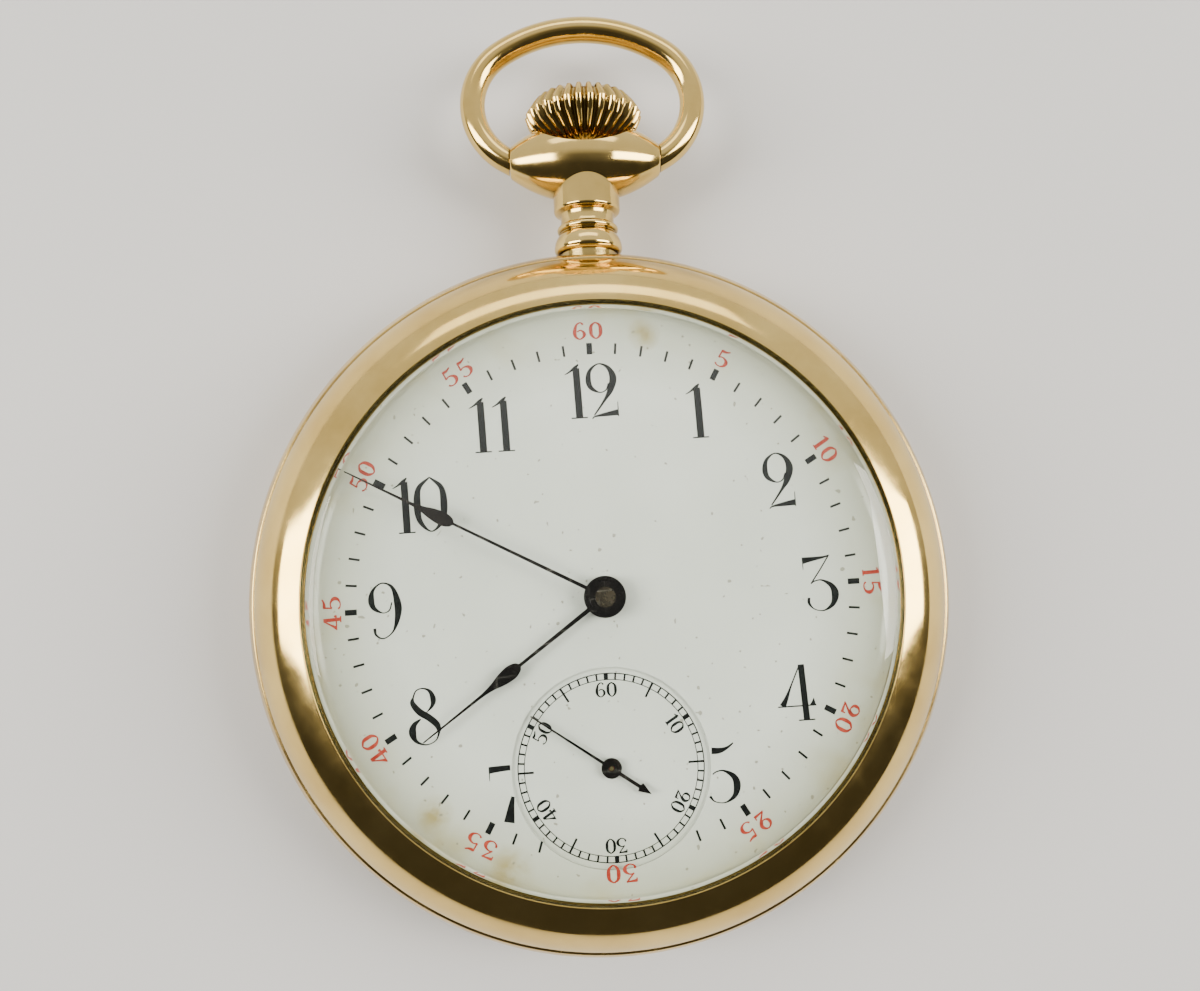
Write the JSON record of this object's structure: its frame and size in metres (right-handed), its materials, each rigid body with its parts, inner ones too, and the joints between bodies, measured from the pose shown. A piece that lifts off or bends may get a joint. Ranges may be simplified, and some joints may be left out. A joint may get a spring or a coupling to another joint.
{
  "type": "pocket watch",
  "caption": "Open face pocket watch with pendant, swinging bow, winding crown, enamel dial, sunk seconds dial and a lever movement.",
  "frame": {"origin": "centre of the flat on the back cover that the watch rests on", "axes": "+Z out of the dial along the hands' axis, +Y to the pendant at twelve o'clock, +X to three o'clock"},
  "size_m": [0.051, 0.0697, 0.0132],
  "materials": {
    "gold_case": "polished yellow gold fill",
    "polished_steel": "polished",
    "nickel_plates": "fine brushed",
    "gilt_brass": "gilt",
    "blued_steel": "blued and polished",
    "ruby": "polished stone",
    "enamel": "fired white enamel",
    "crystal_glass": "clear"
  },
  "bodies": {
    "case": {"case_center": "gold_case", "pendant": "gold_case", "stem_sleeve": "polished_steel", "dial": "enamel", "pillar_plate": "nickel_plates", "barrel_bridge": "nickel_plates", "train_bridge": "nickel_plates", "pallet_bridge": "nickel_plates", "balance_cock": "nickel_plates", "hairspring_stud": "polished_steel", "jewels": "ruby", "bridge_screws": "blued_steel", "cock_screws": "blued_steel", "case_screws": "blued_steel", "wheel_screws": "blued_steel"},
    "bezel_and_crystal": {"bezel": "gold_case", "crystal": "crystal_glass"},
    "back": {"back_cover": "gold_case"},
    "bow_ring": {"bow": "gold_case"},
    "winding_pinion_turning": {"winding_pinion": "polished_steel"},
    "crown_and_stem": {"crown": "gold_case", "stem": "polished_steel"},
    "sliding_clutch": {"clutch": "polished_steel"},
    "crown_wheel_turning": {"crown_wheel": "polished_steel"},
    "arbor_and_ratchet": {"barrel_arbor": "polished_steel", "ratchet_wheel": "polished_steel", "ratchet_screw": "polished_steel"},
    "barrel_drum": {"mainspring_barrel": "gilt_brass", "barrel_cover": "gilt_brass", "mainspring": "polished_steel"},
    "click_lever": {"click": "polished_steel"},
    "centre_and_minute_hand": {"centre_wheel": "gilt_brass", "cannon_pinion": "polished_steel", "minute_hand": "blued_steel"},
    "hour_wheel_and_hand": {"hour_wheel": "gilt_brass", "hour_hand": "blued_steel"},
    "minute_wheel_turning": {"minute_wheel": "gilt_brass"},
    "intermediate_setting": {"intermediate_setting_wheel": "polished_steel"},
    "setting": {"setting_wheel": "polished_steel"},
    "third": {"third_wheel": "gilt_brass"},
    "fourth_and_seconds_hand": {"fourth_wheel": "gilt_brass", "seconds_hand": "blued_steel"},
    "escape": {"escape_wheel": "polished_steel"},
    "pallet": {"pallet_fork": "polished_steel", "pallet_stones": "ruby"},
    "balance": {"balance_wheel": "gilt_brass", "balance_staff": "polished_steel", "roller_table": "gilt_brass", "impulse_jewel": "ruby", "hairspring": "blued_steel"},
    "regulator_index": {"regulator": "polished_steel"}
  },
  "joints": [
    {"name": "minute_hand_turn", "type": "hinge", "parent": "case", "child": "centre_and_minute_hand", "pos_m": [0, 0, 0.006], "axis": [0, 0, -1], "continuous": true},
    {"name": "hour_hand_turn", "type": "hinge", "parent": "case", "child": "hour_wheel_and_hand", "pos_m": [0, 0, 0.006], "axis": [0, 0, -1], "continuous": true},
    {"name": "minute_wheel_turn", "type": "hinge", "parent": "case", "child": "minute_wheel_turning", "pos_m": [0.00146, 0.00329, 0.006], "axis": [0, 0, -1], "continuous": true},
    {"name": "intermediate_setting_turn", "type": "hinge", "parent": "case", "child": "intermediate_setting", "pos_m": [-0.00011, 0.00718, 0.006], "axis": [0, 0, -1], "continuous": true},
    {"name": "setting_wheel_turn", "type": "hinge", "parent": "case", "child": "setting", "pos_m": [0.00046, 0.01043, 0.006], "axis": [0, 0, -1], "continuous": true},
    {"name": "barrel_turn", "type": "hinge", "parent": "case", "child": "barrel_drum", "pos_m": [-0.00693, 0.00769, 0.006], "axis": [0, 0, -1], "continuous": true},
    {"name": "third_wheel_turn", "type": "hinge", "parent": "case", "child": "third", "pos_m": [-0.00321, -0.00669, 0.006], "axis": [0, 0, -1], "continuous": true},
    {"name": "seconds_hand_turn", "type": "hinge", "parent": "case", "child": "fourth_and_seconds_hand", "pos_m": [0, -0.0117, 0.006], "axis": [0, 0, -1], "continuous": true},
    {"name": "escape_wheel_turn", "type": "hinge", "parent": "case", "child": "escape", "pos_m": [0.00463, -0.01361, 0.006], "axis": [0, 0, -1], "continuous": true},
    {"name": "crown_turn", "type": "hinge", "parent": "case", "child": "winding_pinion_turning", "pos_m": [0, 0.018, 0.0058], "axis": [0, 1, 0], "continuous": true},
    {"name": "crown_pull", "type": "slide", "parent": "winding_pinion_turning", "child": "crown_and_stem", "axis": [0, 1, 0], "range_m": [0, 0.0012]},
    {"name": "clutch_slide", "type": "slide", "parent": "winding_pinion_turning", "child": "sliding_clutch", "axis": [0, 1, 0], "range_m": [-0.0006, 0]},
    {"name": "crown_wheel_turn", "type": "hinge", "parent": "case", "child": "crown_wheel_turning", "pos_m": [0, 0.014, 0.0036], "axis": [0, 0, 1], "continuous": true},
    {"name": "ratchet_turn", "type": "hinge", "parent": "case", "child": "arbor_and_ratchet", "pos_m": [-0.00693, 0.00769, 0.006], "axis": [0, 0, 1], "continuous": true},
    {"name": "click_swing", "type": "hinge", "parent": "case", "child": "click_lever", "pos_m": [-0.01485, 0.00981, 0.0036], "axis": [0, 0, 1], "range_deg": [0, 12]},
    {"name": "pallet_swing", "type": "hinge", "parent": "case", "child": "pallet", "pos_m": [0.00694, -0.01044, 0.006], "axis": [0, 0, -1], "range_deg": [-5, 5]},
    {"name": "balance_swing", "type": "hinge", "parent": "case", "child": "balance", "pos_m": [0.0112, -0.0046, 0.006], "axis": [0, 0, -1], "range_deg": [-270, 270], "deforming": ["hairspring"]},
    {"name": "regulator_swing", "type": "hinge", "parent": "case", "child": "regulator_index", "pos_m": [0.0112, -0.0046, 0.0018], "axis": [0, 0, -1], "range_deg": [-25, 25]},
    {"name": "bow_swing", "type": "hinge", "parent": "case", "child": "bow_ring", "pos_m": [0, 0.03285, 0.0058], "axis": [1, 0, 0], "range_deg": [-130, 130]},
    {"name": "bezel_off", "type": "slide", "parent": "case", "child": "bezel_and_crystal", "axis": [0, 0, 1], "range_m": [0, 0.02]},
    {"name": "back_cover_off", "type": "slide", "parent": "case", "child": "back", "axis": [0, 0, -1], "range_m": [0, 0.02]}
  ],
  "couplings": [
    {"joint": "hour_hand_turn", "follows": "minute_hand_turn", "ratio": 0.083333},
    {"joint": "minute_wheel_turn", "follows": "minute_hand_turn", "ratio": -0.33333},
    {"joint": "intermediate_setting_turn", "follows": "minute_hand_turn", "ratio": 0.6},
    {"joint": "setting_wheel_turn", "follows": "minute_hand_turn", "ratio": -0.5},
    {"joint": "barrel_turn", "follows": "minute_hand_turn", "ratio": -0.15385},
    {"joint": "third_wheel_turn", "follows": "minute_hand_turn", "ratio": -8},
    {"joint": "seconds_hand_turn", "follows": "minute_hand_turn", "ratio": 60},
    {"joint": "escape_wheel_turn", "follows": "minute_hand_turn", "ratio": -600},
    {"joint": "clutch_slide", "follows": "crown_pull", "ratio": -0.5},
    {"joint": "crown_wheel_turn", "follows": "crown_turn", "ratio": 0.33333},
    {"joint": "ratchet_turn", "follows": "crown_turn", "ratio": -0.23077}
  ]
}
